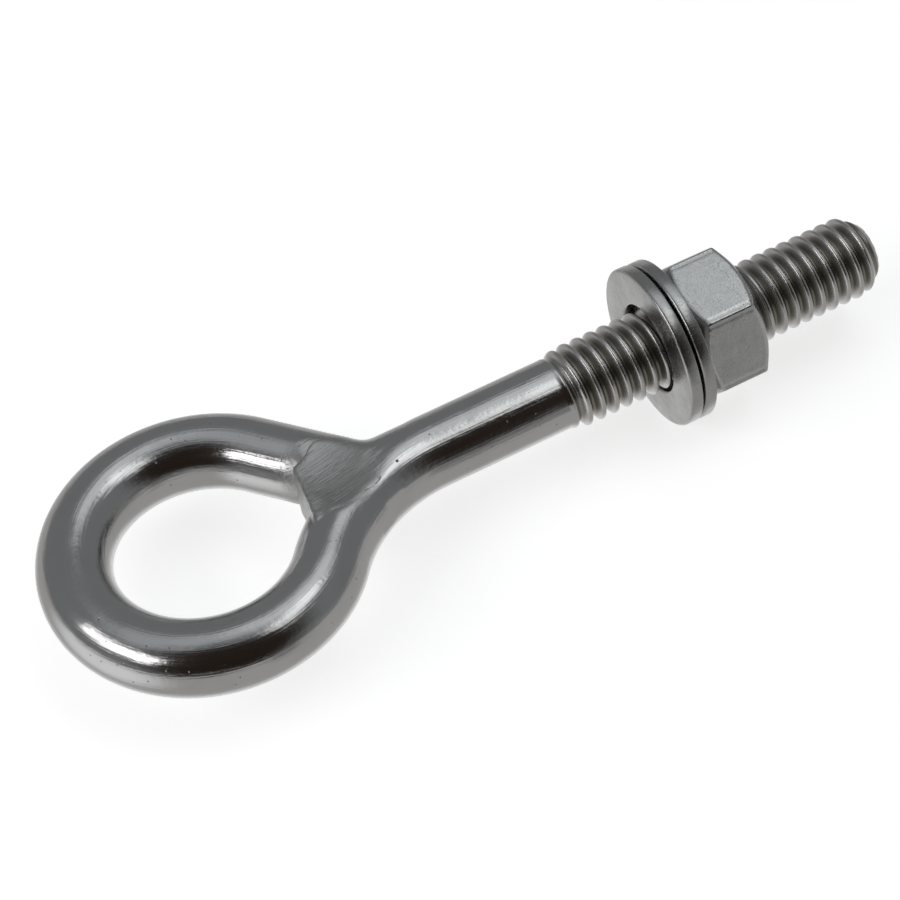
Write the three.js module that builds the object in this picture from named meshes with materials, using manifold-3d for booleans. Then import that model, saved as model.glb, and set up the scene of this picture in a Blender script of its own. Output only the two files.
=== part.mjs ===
// Eye bolt: a rod bent round into a closed eye, with a rolled thread, two flat washers and a hex nut.
// Millimetres. The origin is the centre of the eye, +X runs along the shank towards its threaded tip,
// and +Z is square to the plane of the eye.
import * as THREE from 'three';
import { mergeVertices } from 'three/addons/utils/BufferGeometryUtils.js';
import Module from 'manifold-3d';

const inch = 25.4;

// The eye and the length
const eyeBendRadius = 11.8;
const neckBendRadius = 17.8;
const shankOffset = -0.67;
const eyeEndAngle = 41.4;
const eyeCentreToTip = 2.75 * inch;

// The thread
const threadDiameter = (5 / 16) * inch;
const threadPitch = inch / 18;
const threadDepth = 0.61 * threadPitch;
const threadCrestWidth = 0.2 * threadPitch;
const threadRootWidth = 0.24 * threadPitch;
const rolledMetal = 0.65 * threadPitch;
const threadLength = 34.6;
const threadRunOut = 1.3;
const tipChamfer = 1.6;
const tipFaceDiameter = 5.3;

// The weld that closes the eye
const weldProud = 0.15;
const weldGap = 0.3;

// The washers, counted from the eye
const washerDiameter = 16.0;
const washerHoleSlack = 0.96;
const washerThickness = 1.2;
const washerEdgeRounding = 0.3;
const washerLift = 0.25;

// The nut
const nutAcrossFlats = 0.5 * inch;
const nutHeight = 6.6;
const nutCornerAngle = 10.4;
const nutChamferAngle = 30;
const nutFaceShare = 0.95;
const nutThreadClearance = 0.3;
const nutMouthWidening = 0.35;

// Where the stack of washers and nut sits on the thread
const tipToNut = 14.3;
const stackGap = 0.3;

// How finely round shapes are divided
const roundSides = 20;
const washerSides = 40;
const sweepStep = 1.5;
const throughMargin = 1.0;

// Sizes that follow from the ones above. Rolling raises as much metal as it presses in, so the plain
// rod is as thick as the middle of the thread's depth.
const rodDiameter = threadDiameter - rolledMetal;
const rodRadius = rodDiameter / 2;
const threadRadius = threadDiameter / 2;
const threadRootRadius = threadRadius - threadDepth;
const threadStart = eyeCentreToTip - threadLength;
const nutOuterFace = eyeCentreToTip - tipToNut;
const nutInnerFace = nutOuterFace - nutHeight;
const outerWasherFace = nutInnerFace - stackGap - washerThickness;
const innerWasherFace = outerWasherFace - stackGap - washerThickness;
const nutCornerRadius = nutAcrossFlats / Math.sqrt(3);
const shankAxis = new THREE.Vector3(0, shankOffset, 0);

const wasm = await Module();
wasm.setup();

// Solids for cutting and joining

function toSolid(geometry) {
  const bare = geometry.clone();
  bare.deleteAttribute('normal');
  bare.deleteAttribute('uv');
  const merged = mergeVertices(bare, 1e-4);
  return new wasm.Manifold(new wasm.Mesh({
    numProp: 3,
    vertProperties: new Float32Array(merged.attributes.position.array),
    triVerts: new Uint32Array(merged.index.array),
  }));
}

function toGeometry(solid) {
  const mesh = solid.getMesh();
  const geometry = new THREE.BufferGeometry();
  geometry.setAttribute('position', new THREE.BufferAttribute(new Float32Array(mesh.vertProperties), 3));
  geometry.setIndex(new THREE.BufferAttribute(new Uint32Array(mesh.triVerts), 1));
  geometry.computeVertexNormals();
  return geometry;
}

// A turned shape: the profile lists [distance along the shank, radius] from one end to the other.
function turned(profile, sides) {
  const points = profile.map(([along, radius]) => new THREE.Vector2(radius, along));
  const geometry = new THREE.LatheGeometry(points, sides);
  geometry.rotateZ(-Math.PI / 2);
  geometry.translate(shankAxis.x, shankAxis.y, shankAxis.z);
  return geometry;
}

// The centre line of the bent rod, from the shank through the neck and round the eye

const neckCentre = new THREE.Vector2(0, shankOffset - neckBendRadius);
neckCentre.x = Math.sqrt((eyeBendRadius + neckBendRadius) ** 2 - neckCentre.y ** 2);
const neckAngle = Math.atan2(neckCentre.y, neckCentre.x);
const eyeEnd = THREE.MathUtils.degToRad(eyeEndAngle);
const tailDirection = new THREE.Vector2(Math.sin(eyeEnd), -Math.cos(eyeEnd));
const tailStart = new THREE.Vector2(Math.cos(eyeEnd), Math.sin(eyeEnd)).multiplyScalar(eyeBendRadius);

// The length of the straight tail from the eye's circle to the neck's centre line
function tailToNeckLength() {
  const toCentre = tailStart.clone().sub(neckCentre);
  const along = toCentre.dot(tailDirection);
  const outside = toCentre.lengthSq() - neckBendRadius ** 2;
  return -along - Math.sqrt(along ** 2 - outside);
}

const tailToNeck = tailToNeckLength();
const tailMeetsNeck = tailStart.clone().addScaledVector(tailDirection, tailToNeck);
const neckNormal = tailMeetsNeck.clone().sub(neckCentre).normalize();
const facing = Math.abs(tailDirection.dot(neckNormal));
const slanting = Math.sqrt(1 - facing ** 2);

// The square-cut end of the tail stops where its nearest edge just clears the neck.
const tailSetBack = (rodRadius + weldGap + rodRadius * slanting) / facing;

class BentLine extends THREE.Curve {
  constructor(shankLength, tailLength) {
    super();
    const neckTurn = Math.PI / 2 + neckAngle;
    const eyeTurn = 2 * Math.PI + neckAngle - eyeEnd;
    this.shankEnd = neckCentre.x + shankLength;
    this.lengths = [shankLength, neckTurn * neckBendRadius, eyeTurn * eyeBendRadius, tailLength];
    this.total = this.lengths.reduce((sum, length) => sum + length, 0);
  }

  getPoint(t, target = new THREE.Vector3()) {
    const [shank, neck, eye, tail] = this.lengths;
    let along = t * this.total;
    if (along <= shank) return target.set(this.shankEnd - along, shankOffset, 0);
    along -= shank;
    if (along <= neck) {
      const angle = Math.PI / 2 + along / neckBendRadius;
      const reach = neckBendRadius;
      return target.set(neckCentre.x + reach * Math.cos(angle), neckCentre.y + reach * Math.sin(angle), 0);
    }
    along -= neck;
    if (along <= eye) {
      const angle = neckAngle - along / eyeBendRadius;
      return target.set(eyeBendRadius * Math.cos(angle), eyeBendRadius * Math.sin(angle), 0);
    }
    along = Math.min(along - eye, tail);
    return target.set(tailStart.x + along * tailDirection.x, tailStart.y + along * tailDirection.y, 0);
  }
}

function roundSection(radius) {
  const points = [];
  for (let side = 0; side < roundSides; side += 1) {
    const angle = (side / roundSides) * 2 * Math.PI;
    points.push(new THREE.Vector2(radius * Math.cos(angle), radius * Math.sin(angle)));
  }
  return new THREE.Shape(points);
}

function swept(path, radius) {
  const steps = Math.ceil(path.getLength() / sweepStep);
  return new THREE.ExtrudeGeometry(roundSection(radius), { steps, extrudePath: path });
}

// A right-hand screw about the shank, closed at both ends, with its root at rootRadius.
function screw(from, to, rootRadius) {
  const flank = (threadPitch - threadCrestWidth - threadRootWidth) / 2;
  const crestRadius = rootRadius + threadDepth;
  const profile = [
    [0, rootRadius],
    [threadRootWidth, rootRadius],
    [threadRootWidth + flank, crestRadius],
    [threadRootWidth + flank + threadCrestWidth, crestRadius],
  ];
  // Every screw starts a whole number of turns from the tip, so that all of them are in mesh.
  const firstTurn = Math.floor((from - eyeCentreToTip) / threadPitch) - 1;
  const turns = Math.ceil((to - from) / threadPitch) + 2;
  const rows = turns * profile.length;
  const positions = [];
  for (let row = 0; row <= rows; row += 1) {
    const [offset, radius] = profile[row % profile.length];
    const turn = firstTurn + Math.floor(row / profile.length);
    for (let side = 0; side < roundSides; side += 1) {
      const share = side / roundSides;
      const along = eyeCentreToTip + (turn + share) * threadPitch + offset;
      const angle = share * 2 * Math.PI;
      positions.push(along, shankOffset + radius * Math.cos(angle), radius * Math.sin(angle));
    }
  }
  // The last column of one turn joins the first column of the next.
  const vertex = (row, side) => (side < roundSides ? row * roundSides + side
    : (row + profile.length) * roundSides);
  const triangles = [];
  const lastRow = rows - profile.length;
  for (let row = 0; row < lastRow; row += 1) {
    for (let side = 0; side < roundSides; side += 1) {
      const a = vertex(row, side);
      const b = vertex(row + 1, side);
      const c = vertex(row + 1, side + 1);
      const d = vertex(row, side + 1);
      triangles.push(a, c, b, a, d, c);
    }
  }
  const startHub = positions.length / 3;
  const startAlong = eyeCentreToTip + (firstTurn + 0.5) * threadPitch;
  const endAlong = startAlong + (turns - 1) * threadPitch;
  positions.push(startAlong, shankOffset, 0, endAlong, shankOffset, 0);
  const cap = (row, hub, outward) => {
    const rim = [];
    for (let side = 0; side < roundSides; side += 1) rim.push(vertex(row, side));
    for (let step = profile.length; step > 0; step -= 1) rim.push(vertex(row + step, 0));
    rim.forEach((here, place) => {
      const next = rim[(place + 1) % rim.length];
      triangles.push(...(outward ? [hub, here, next] : [hub, next, here]));
    });
  };
  cap(0, startHub, false);
  cap(lastRow, startHub + 1, true);
  const geometry = new THREE.BufferGeometry();
  geometry.setAttribute('position', new THREE.Float32BufferAttribute(positions, 3));
  geometry.setIndex(triangles);
  return geometry;
}

// The bent rod with its thread: one piece of steel

// The envelope of the thread: a cone brings it up out of the plain shank, and a cone chamfers its tip.
function threadedEnd() {
  const hiddenRadius = rodRadius * 0.9;
  const clearRadius = threadRadius * 1.1;
  const tipFaceRadius = tipFaceDiameter / 2;
  const runOutSlope = (threadRadius - rodRadius) / threadRunOut;
  const chamferSlope = (threadRadius - tipFaceRadius) / tipChamfer;
  const start = threadStart - (rodRadius - hiddenRadius) / runOutSlope;
  const envelope = turned([
    [start, 0],
    [start, hiddenRadius],
    [threadStart + (clearRadius - rodRadius) / runOutSlope, clearRadius],
    [eyeCentreToTip - (clearRadius - tipFaceRadius) / chamferSlope, clearRadius],
    [eyeCentreToTip, tipFaceRadius],
    [eyeCentreToTip, 0],
  ], roundSides);
  return toSolid(screw(start, eyeCentreToTip, threadRootRadius)).intersect(toSolid(envelope));
}

function eyeRod() {
  const shankLength = threadStart + threadRunOut / 2 - neckCentre.x;
  const line = new BentLine(shankLength, tailToNeck - tailSetBack);
  return toGeometry(toSolid(swept(line, rodRadius)).add(threadedEnd()));
}

// The weld: fills the wedge between the square end of the tail and the side of the neck

function eyeWeld() {
  const from = tailStart.clone().addScaledVector(tailDirection, tailToNeck - tailSetBack + weldGap);
  const along = new THREE.LineCurve3(
    new THREE.Vector3(from.x, from.y, 0),
    new THREE.Vector3(tailMeetsNeck.x, tailMeetsNeck.y, 0),
  );
  const section = roundSection(rodRadius + weldProud);
  const plug = new THREE.ExtrudeGeometry(section, { steps: 1, extrudePath: along });
  const neckOnly = swept(new BentLine(rodDiameter, 0), rodRadius + weldGap);
  return toGeometry(toSolid(plug).subtract(toSolid(neckOnly)));
}

// A flat washer, punched from sheet: its rim is rounded on the side that faces the eye.

function washer(face) {
  const rim = washerDiameter / 2;
  const hole = (threadDiameter + washerHoleSlack) / 2;
  const back = face + washerThickness;
  const roundingMiddle = washerEdgeRounding * (1 - Math.SQRT1_2);
  const geometry = turned([
    [face, hole],
    [face, rim - washerEdgeRounding],
    [face + roundingMiddle, rim - roundingMiddle],
    [face + washerEdgeRounding, rim],
    [back, rim],
    [back, hole],
    [face, hole],
  ], washerSides);
  geometry.translate(0, 0, washerLift);
  return toGeometry(toSolid(geometry));
}

// The nut: a hexagon with both ends chamfered, a countersunk mouth on each face and a real thread

function hexNut() {
  const outline = new THREE.Shape();
  for (let corner = 0; corner < 6; corner += 1) {
    const angle = THREE.MathUtils.degToRad(nutCornerAngle + 60 * corner);
    const point = [nutCornerRadius * Math.cos(angle), nutCornerRadius * Math.sin(angle)];
    if (corner === 0) outline.moveTo(...point);
    else outline.lineTo(...point);
  }
  const hexagon = new THREE.ExtrudeGeometry(outline, { depth: nutHeight, bevelEnabled: false });
  // Turns the outline's own X and Y to the row's Y and Z, and its depth to +X
  hexagon.applyMatrix4(new THREE.Matrix4().makeBasis(
    new THREE.Vector3(0, 1, 0), new THREE.Vector3(0, 0, 1), new THREE.Vector3(1, 0, 0),
  ));
  hexagon.translate(nutInnerFace, shankOffset, 0);

  const faceRadius = (nutAcrossFlats / 2) * nutFaceShare;
  const beyond = nutCornerRadius + throughMargin;
  const chamferReach = (beyond - faceRadius) * Math.tan(THREE.MathUtils.degToRad(nutChamferAngle));
  const chamfered = turned([
    [nutInnerFace, 0],
    [nutInnerFace, faceRadius],
    [nutInnerFace + chamferReach, beyond],
    [nutOuterFace - chamferReach, beyond],
    [nutOuterFace, faceRadius],
    [nutOuterFace, 0],
  ], roundSides * 2);

  const boreRoot = threadRootRadius + nutThreadClearance;
  const mouthRadius = threadRadius + nutThreadClearance + nutMouthWidening;
  const mouthDepth = mouthRadius - boreRoot;
  const mouth = (face, inward) => {
    const profile = [
      [face - inward * throughMargin, 0],
      [face - inward * throughMargin, mouthRadius + throughMargin],
      [face + inward * mouthDepth, boreRoot],
      [face + inward * mouthDepth, 0],
    ];
    return toSolid(turned(inward > 0 ? profile : profile.reverse(), roundSides));
  };
  const bore = toSolid(screw(nutInnerFace - throughMargin, nutOuterFace + throughMargin, boreRoot));
  return toGeometry(
    toSolid(hexagon).intersect(toSolid(chamfered))
      .subtract(bore).subtract(mouth(nutInnerFace, 1)).subtract(mouth(nutOuterFace, -1)),
  );
}

// The assembly

function piece(name, geometry, colour, roughness) {
  const material = new THREE.MeshStandardMaterial({ color: colour, roughness, metalness: 1 });
  const mesh = new THREE.Mesh(geometry, material);
  mesh.name = name;
  return mesh;
}

const group = new THREE.Group();
group.add(
  piece('eye_rod', eyeRod(), 0xa9a9ab, 0.18),
  piece('eye_weld', eyeWeld(), 0x9a9a9c, 0.4),
  piece('inner_washer', washer(innerWasherFace), 0xa4a4a4, 0.35),
  piece('outer_washer', washer(outerWasherFace), 0xa4a4a4, 0.35),
  piece('hex_nut', hexNut(), 0xa8a8a8, 0.3),
);

export default group;
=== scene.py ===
# %% [markdown]
# # An eye bolt in Blender
# The part is a stainless eye bolt: one round rod bent into an eye and welded shut, a rolled
# thread on the other end, two flat washers and a hexagon nut. The working model holds the sizes,
# the places and the joints. This lesson loads it as a fixed frame and builds each piece again with
# the fine shape and the finish that a plain working model leaves out.
#
# Everything is in metres. Sizes below are in millimetres, so each is multiplied by MM once.

import math

import bmesh
import bpy
import numpy as np
from mathutils import Matrix, Vector


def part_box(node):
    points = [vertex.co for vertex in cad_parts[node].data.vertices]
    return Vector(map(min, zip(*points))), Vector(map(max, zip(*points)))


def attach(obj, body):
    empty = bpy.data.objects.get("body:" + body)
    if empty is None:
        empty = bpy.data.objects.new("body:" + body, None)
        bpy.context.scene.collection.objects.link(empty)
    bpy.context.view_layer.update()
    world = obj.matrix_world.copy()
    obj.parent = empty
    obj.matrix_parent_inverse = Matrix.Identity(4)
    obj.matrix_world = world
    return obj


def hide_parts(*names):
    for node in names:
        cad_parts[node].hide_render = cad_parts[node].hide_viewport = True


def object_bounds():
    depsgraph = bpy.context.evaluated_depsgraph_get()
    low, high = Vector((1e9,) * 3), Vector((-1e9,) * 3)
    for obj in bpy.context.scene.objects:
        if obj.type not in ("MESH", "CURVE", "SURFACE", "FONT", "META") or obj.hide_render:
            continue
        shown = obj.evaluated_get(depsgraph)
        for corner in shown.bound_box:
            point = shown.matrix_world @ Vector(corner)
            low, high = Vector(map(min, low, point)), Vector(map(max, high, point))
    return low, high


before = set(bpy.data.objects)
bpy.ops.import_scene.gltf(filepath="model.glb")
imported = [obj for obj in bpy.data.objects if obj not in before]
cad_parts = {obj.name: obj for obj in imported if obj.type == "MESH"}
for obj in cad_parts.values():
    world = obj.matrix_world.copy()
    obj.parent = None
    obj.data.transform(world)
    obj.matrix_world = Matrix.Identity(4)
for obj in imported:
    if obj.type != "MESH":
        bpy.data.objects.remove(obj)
cad_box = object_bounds()
MM = 0.001

# %% [markdown]
# ## Sizes
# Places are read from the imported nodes, so a new pack moves every piece here too. The bend radii
# and the thread's proportions can't be read from a box, so they are repeated from the part.

# %% Places read from the frame
nut_low, nut_high = (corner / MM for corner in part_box("hex_nut"))
rod_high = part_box("eye_rod")[1] / MM
AXIS_Y = (nut_low.y + nut_high.y) / 2
TIP_X = rod_high.x
print(f"bolt axis at y {AXIS_Y:.2f} mm, tip at x {TIP_X:.2f} mm")

# %% Sizes of the bent rod, in millimetres
EYE_BEND = 11.8
NECK_BEND = 17.8
EYE_END_ANGLE = math.radians(41.4)
THREAD_DIAMETER = 7.9375
PITCH = 25.4 / 18
THREAD_DEPTH = 0.61 * PITCH
CREST_RADIUS = THREAD_DIAMETER / 2
ROOT_RADIUS = CREST_RADIUS - THREAD_DEPTH
ROD_RADIUS = (THREAD_DIAMETER - 0.65 * PITCH) / 2
THREAD_LENGTH = 34.6
THREAD_RUN_OUT = 2.6
TIP_CHAMFER = 1.6
TIP_FACE_RADIUS = 2.65
print(f"rod {2 * ROD_RADIUS:.2f} mm, thread {THREAD_DIAMETER:.2f} mm, pitch {PITCH:.3f} mm")

# %% [markdown]
# ## A small language for nodes
# Shader trees and geometry trees are made of the same kind of boxes and wires. Clicking dozens of
# Math nodes together is slow to read back, so one class wraps a socket and lets Python's own
# operators add the Math nodes. Everything that isn't plain arithmetic comes from one method, which
# takes the node's type, its settings and the values of its sockets.


# %% Wires and boards
class Wire:
    """A value on its way through a tree. Arithmetic on it adds Math nodes."""

    def __init__(self, board, socket):
        self.board = board
        self.socket = socket

    def other(self, name):
        """Another output of the node that this value comes from."""
        return Wire(self.board, self.socket.node.outputs[name])

    def __add__(self, value):
        return self.board.math("ADD", self, value)

    def __radd__(self, value):
        return self.board.math("ADD", value, self)

    def __sub__(self, value):
        return self.board.math("SUBTRACT", self, value)

    def __rsub__(self, value):
        return self.board.math("SUBTRACT", value, self)

    def __mul__(self, value):
        return self.board.math("MULTIPLY", self, value)

    def __rmul__(self, value):
        return self.board.math("MULTIPLY", value, self)

    def __truediv__(self, value):
        return self.board.math("DIVIDE", self, value)


class Board:
    """A node tree that is being filled."""

    def __init__(self, tree):
        self.tree = tree

    def node(self, kind, settings=None, sockets=None, out=0):
        """A node of this type with these settings and socket values or wires."""
        made = self.tree.nodes.new(kind)
        for name, value in (settings or {}).items():
            setattr(made, name, value)
        for name, value in (sockets or {}).items():
            if isinstance(value, Wire):
                self.tree.links.new(value.socket, made.inputs[name])
            else:
                made.inputs[name].default_value = value
        return Wire(self, made.outputs[out])

    def math(self, operation, *values):
        return self.node("ShaderNodeMath", {"operation": operation}, dict(enumerate(values)))

    def share(self, value, low, high):
        """0 below low, 1 above high, and a straight ramp between them."""
        sockets = {"Value": value, "From Min": low, "From Max": high}
        return self.node("ShaderNodeMapRange", {"clamp": True}, sockets)

    def ease(self, value, low, high):
        """As share, with both ends of the ramp rounded."""
        sockets = {"Value": value, "From Min": low, "From Max": high}
        settings = {"interpolation_type": "SMOOTHSTEP"}
        return self.node("ShaderNodeMapRange", settings, sockets)

    def blend(self, factor, first, second):
        """A colour between two colours."""
        sockets = {0: factor, 6: first, 7: second}
        return self.node("ShaderNodeMix", {"data_type": "RGBA"}, sockets, out=2)

    def xyz(self, vector):
        first = self.node("ShaderNodeSeparateXYZ", None, {"Vector": vector})
        return first, first.other("Y"), first.other("Z")

    def vector(self, x, y, z):
        return self.node("ShaderNodeCombineXYZ", None, {"X": x, "Y": y, "Z": z})

    def span(self, x, y):
        """Length of the diagonal of a rectangle with these two sides."""
        return self.math("SQRT", x * x + y * y)


print("a value is a Wire, and a tree is a Board")


# %% [markdown]
# ## Camera
# The camera stands in front of the bolt, looks down on it at about fifty degrees with a long lens,
# and is rolled a little, so that the bolt climbs to the right across the picture. A camera looks
# along its own -Z, so the track quaternion aims it and a turn about its own Z adds the roll.

# %% Camera
LOOK_FROM = Vector((-38.93, -159.35, 200.35)) * MM
LOOK_AT = Vector((24.43, -1.40, 0.0)) * MM
ROLL = math.radians(-8.08)
camera_data = bpy.data.cameras.new("camera")
camera_data.lens = 114.6
camera_data.sensor_width = 36.0
camera_data.clip_start = 0.01
camera = bpy.data.objects.new("camera", camera_data)
aim = (LOOK_AT - LOOK_FROM).to_track_quat("-Z", "Y").to_matrix().to_4x4()
camera.matrix_world = Matrix.Translation(LOOK_FROM) @ aim @ Matrix.Rotation(ROLL, 4, "Z")
bpy.context.scene.collection.objects.link(camera)
bpy.context.scene.camera = camera
print(f"camera {(LOOK_AT - LOOK_FROM).length / MM:.0f} mm from the bolt")

# %% [markdown]
# ## Light
# Polished steel has hardly a colour of its own: it shows the room. So the room is the first half of
# the material. It is dim and even, with a lighter ceiling, a skylight and a pale table below, and
# the side behind the camera is left dark. That dark side is what draws the black band along the
# rod. A room could be an image wrapped round the scene. Here it is a few soft lobes of light and
# shade in the World, which are easy to move, and two panels. The view transform is Standard, so
# white stays white.

# %% Room
bpy.context.scene.view_settings.view_transform = "Standard"
world = bpy.data.worlds.new("room")
world.use_nodes = True
world.node_tree.nodes.clear()
bpy.context.scene.world = world
room = Board(world.node_tree)
toward = room.node("ShaderNodeTexCoord", out="Generated")
_, _, up = room.xyz(toward)
down = 0 - up


def facing(azimuth, elevation):
    """Direction from the bolt; azimuth runs from +X toward +Y, angles in degrees."""
    a = math.radians(azimuth)
    e = math.radians(elevation)
    return Vector((math.cos(e) * math.cos(a), math.cos(e) * math.sin(a), math.sin(e)))


def lobe(azimuth, elevation, inner, outer):
    """1 within inner degrees of a direction, and 0 beyond outer degrees."""
    settings = {"operation": "DOT_PRODUCT"}
    sockets = {0: toward, 1: facing(azimuth, elevation)}
    close = room.node("ShaderNodeVectorMath", settings, sockets, "Value")
    return room.ease(close, math.cos(math.radians(outer)), math.cos(math.radians(inner)))


WALLS = (0.20, 0.205, 0.21, 1.0)
CEILING = (0.43, 0.45, 0.47, 1.0)
SKYLIGHT = (0.72, 0.75, 0.77, 1.0)
DARK_SIDE = (0.022, 0.016, 0.012, 1.0)
TABLE = (0.44, 0.435, 0.43, 1.0)
BRIGHT_TABLE = (0.92, 0.92, 0.93, 1.0)
BACKDROP = (0.82, 0.83, 0.84, 1.0)
below = room.ease(down, 0.0, 0.05)
tone = room.blend(room.ease(up, 0.78, 0.93), WALLS, CEILING)
tone = room.blend(lobe(38, 64, 6, 20), tone, SKYLIGHT)
tone = room.blend(lobe(-108, 36, 32, 60), tone, DARK_SIDE)
tone = room.blend(room.ease(down, -0.01, 0.03), tone, TABLE)
tone = room.blend(lobe(-74, -9, 5, 13) * 0.8, tone, WALLS)
tone = room.blend(lobe(70, -60, 10, 46) * below, tone, BRIGHT_TABLE)
tone = room.blend(lobe(180, -16, 14, 44) * below, tone, BRIGHT_TABLE)
room_light = room.node("ShaderNodeBackground", None, {"Color": tone})
plain_light = room.node("ShaderNodeBackground", None, {"Color": BACKDROP})
to_camera = room.node("ShaderNodeLightPath", out="Is Camera Ray")
seen = room.node("ShaderNodeMixShader", None, {0: to_camera, 1: room_light, 2: plain_light})
world_output = room.tree.nodes.new("ShaderNodeOutputWorld")
room.tree.links.new(seen.socket, world_output.inputs["Surface"])
print(f"room: {len(room.tree.nodes)} nodes")


# %% Panels
PANEL_REACH = 0.8


def panel(name, azimuth, elevation, width, height, radiance, colour=(1.0, 1.0, 1.0)):
    """A soft panel that faces the bolt; its width and height are angles in degrees."""
    direction = facing(azimuth, elevation)
    light = bpy.data.lights.new(name, "AREA")
    light.shape = "RECTANGLE"
    light.size = 2 * PANEL_REACH * math.tan(math.radians(width / 2))
    light.size_y = 2 * PANEL_REACH * math.tan(math.radians(height / 2))
    light.energy = radiance * math.pi * light.size * light.size_y
    light.color = colour
    lamp = bpy.data.objects.new(name, light)
    turned = direction.to_track_quat("Z", "Y").to_matrix().to_4x4()
    lamp.matrix_world = Matrix.Translation(direction * PANEL_REACH) @ turned
    bpy.context.scene.collection.objects.link(lamp)
    print(f"{name}: {light.size:.2f} by {light.size_y:.2f} m, {light.energy:.1f} W")


panel("window", -177, 38, 42, 18, 2.7, (1.0, 0.98, 1.0))
panel("overhead", -24, 66, 30, 17, 0.95, (0.98, 1.0, 1.0))

# %% [markdown]
# The floor is a plain white sheet. A sheet this bright would also wash out the underside of the
# steel, so it is hidden from glossy rays, and the darker lower half of the room stands in for it
# in reflections. A studio does the same with a grey card just under the piece.

# %% Floor
FLOOR_HALF = 3.0
floor_z = cad_box[0][2]
floor_mesh = bpy.data.meshes.new("floor")
corners = [(-FLOOR_HALF, -FLOOR_HALF, floor_z), (FLOOR_HALF, -FLOOR_HALF, floor_z)]
corners += [(FLOOR_HALF, FLOOR_HALF, floor_z), (-FLOOR_HALF, FLOOR_HALF, floor_z)]
floor_mesh.from_pydata(corners, [], [(0, 1, 2, 3)])
floor = bpy.data.objects.new("floor", floor_mesh)
floor.visible_glossy = False
bpy.context.scene.collection.objects.link(floor)
paper = bpy.data.materials.new("white_paper")
paper.use_nodes = True
paper_shader = paper.node_tree.nodes["Principled BSDF"]
paper_shader.inputs["Base Color"].default_value = (0.85, 0.85, 0.85, 1.0)
paper_shader.inputs["Roughness"].default_value = 0.9
paper_shader.inputs["Specular IOR Level"].default_value = 0.1
paper_shader.inputs["Emission Color"].default_value = (1.0, 1.0, 1.0, 1.0)
paper_shader.inputs["Emission Strength"].default_value = 0.72
floor_mesh.materials.append(paper)
print(f"floor at z {floor_z / MM:.2f} mm")


# %% [markdown]
# ## Steel finishes
# Every piece is the same stainless steel with a different history. The rod was drawn and polished,
# the weld was ground with a coarse disc, the washers were punched and tumbled, and the nut was
# turned and cold formed. One function makes the steel, and each finish hands it a roughness, a
# height map in millimetres and a tint. The height goes through a Bump node whose distance is one
# millimetre, so a height of 0.01 is a hundredth of a millimetre on the real piece.


# %% Steel
def steel(name, finish):
    """A stainless steel; finish(board) returns its colour, roughness and height in millimetres."""
    material = bpy.data.materials.new(name)
    material.use_nodes = True
    board = Board(material.node_tree)
    shader = material.node_tree.nodes["Principled BSDF"]
    shader.inputs["Metallic"].default_value = 1.0
    colour, roughness, height = finish(board)
    relief = board.node("ShaderNodeBump", None, {"Height": height, "Distance": MM, "Strength": 1.0})
    for socket, wire in (("Base Color", colour), ("Roughness", roughness), ("Normal", relief)):
        material.node_tree.links.new(wire.socket, shader.inputs[socket])
    return material


def place(board):
    """The point on the piece, in metres from the frame's origin."""
    return board.node("ShaderNodeTexCoord", out="Object")


def cloud(board, where, size, detail, seed):
    """Soft noise from 0 to 1 whose lumps are about size millimetres across."""
    sockets = {"Vector": where, "W": seed, "Scale": 1 / (size * MM), "Detail": detail}
    return board.node("ShaderNodeTexNoise", {"noise_dimensions": "4D"}, sockets)


def stretched(board, where, length, turn, seed, wide):
    """Noise drawn out into strokes: length and width in millimetres, turned by three angles."""
    size = (1 / (length * MM), 1 / (wide * MM), 1 / (wide * MM))
    laid = board.node("ShaderNodeMapping", None, {"Vector": where, "Rotation": turn})
    drawn = board.node("ShaderNodeVectorMath", {"operation": "MULTIPLY"}, {0: laid, 1: size})
    sockets = {"Vector": drawn, "W": seed, "Scale": 1.0, "Detail": 3.0, "Roughness": 0.6}
    return board.node("ShaderNodeTexNoise", {"noise_dimensions": "4D"}, sockets)


def pits(board, where, spacing, radius, kept):
    """1 inside small round pits; spacing and radius in millimetres, kept is the share of cells."""
    cells = board.node("ShaderNodeTexVoronoi", None, {"Vector": where, "Scale": 1 / (spacing * MM)})
    chosen = board.node("ShaderNodeSeparateColor", None, {"Color": cells.other("Color")})
    near = 1 - board.share(cells, 0.4 * radius / spacing, radius / spacing)
    return near * board.math("LESS_THAN", chosen, kept)


# %% Finish of the ground weld
WELD_X = 12.9
WELD_Y = -0.4
GROUND_INNER = 3.4
GROUND_OUTER = 5.6


def ground(board, where):
    """Colour, roughness and height in millimetres of steel under a grinding disc."""
    strokes = stretched(board, where, 5.0, (0.0, 0.0, math.radians(-12)), 1.0, 0.16)
    deep = stretched(board, where, 8.0, (0.0, 0.0, math.radians(-16)), 5.0, 0.20)
    crossed = stretched(board, where, 4.0, (0.0, 0.0, math.radians(-46)), 9.0, 0.18)
    patches = cloud(board, where, 1.3, 2.0, 3.0)
    gouges = board.ease(deep, 0.58, 0.70)
    nicks = board.ease(crossed, 0.62, 0.72)
    scored = board.math("MAXIMUM", gouges, nicks)
    plain = board.blend(patches, (0.44, 0.44, 0.43, 1.0), (0.55, 0.55, 0.54, 1.0))
    colour = board.blend(scored * 0.6, plain, (0.74, 0.73, 0.71, 1.0))
    roughness = 0.22 + 0.14 * patches + 0.12 * strokes - 0.04 * scored
    height = 0.050 * strokes - 0.030 * gouges - 0.022 * nicks + 0.050 * patches
    return colour, roughness, height


def from_weld(board, where):
    """1 on the flat web of the weld and 0 on the polished rod round it."""
    x, y, _ = board.xyz(where)
    distance = board.span(x / MM - WELD_X, y / MM - WELD_Y)
    return 1 - board.ease(distance, GROUND_INNER, GROUND_OUTER)


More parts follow.
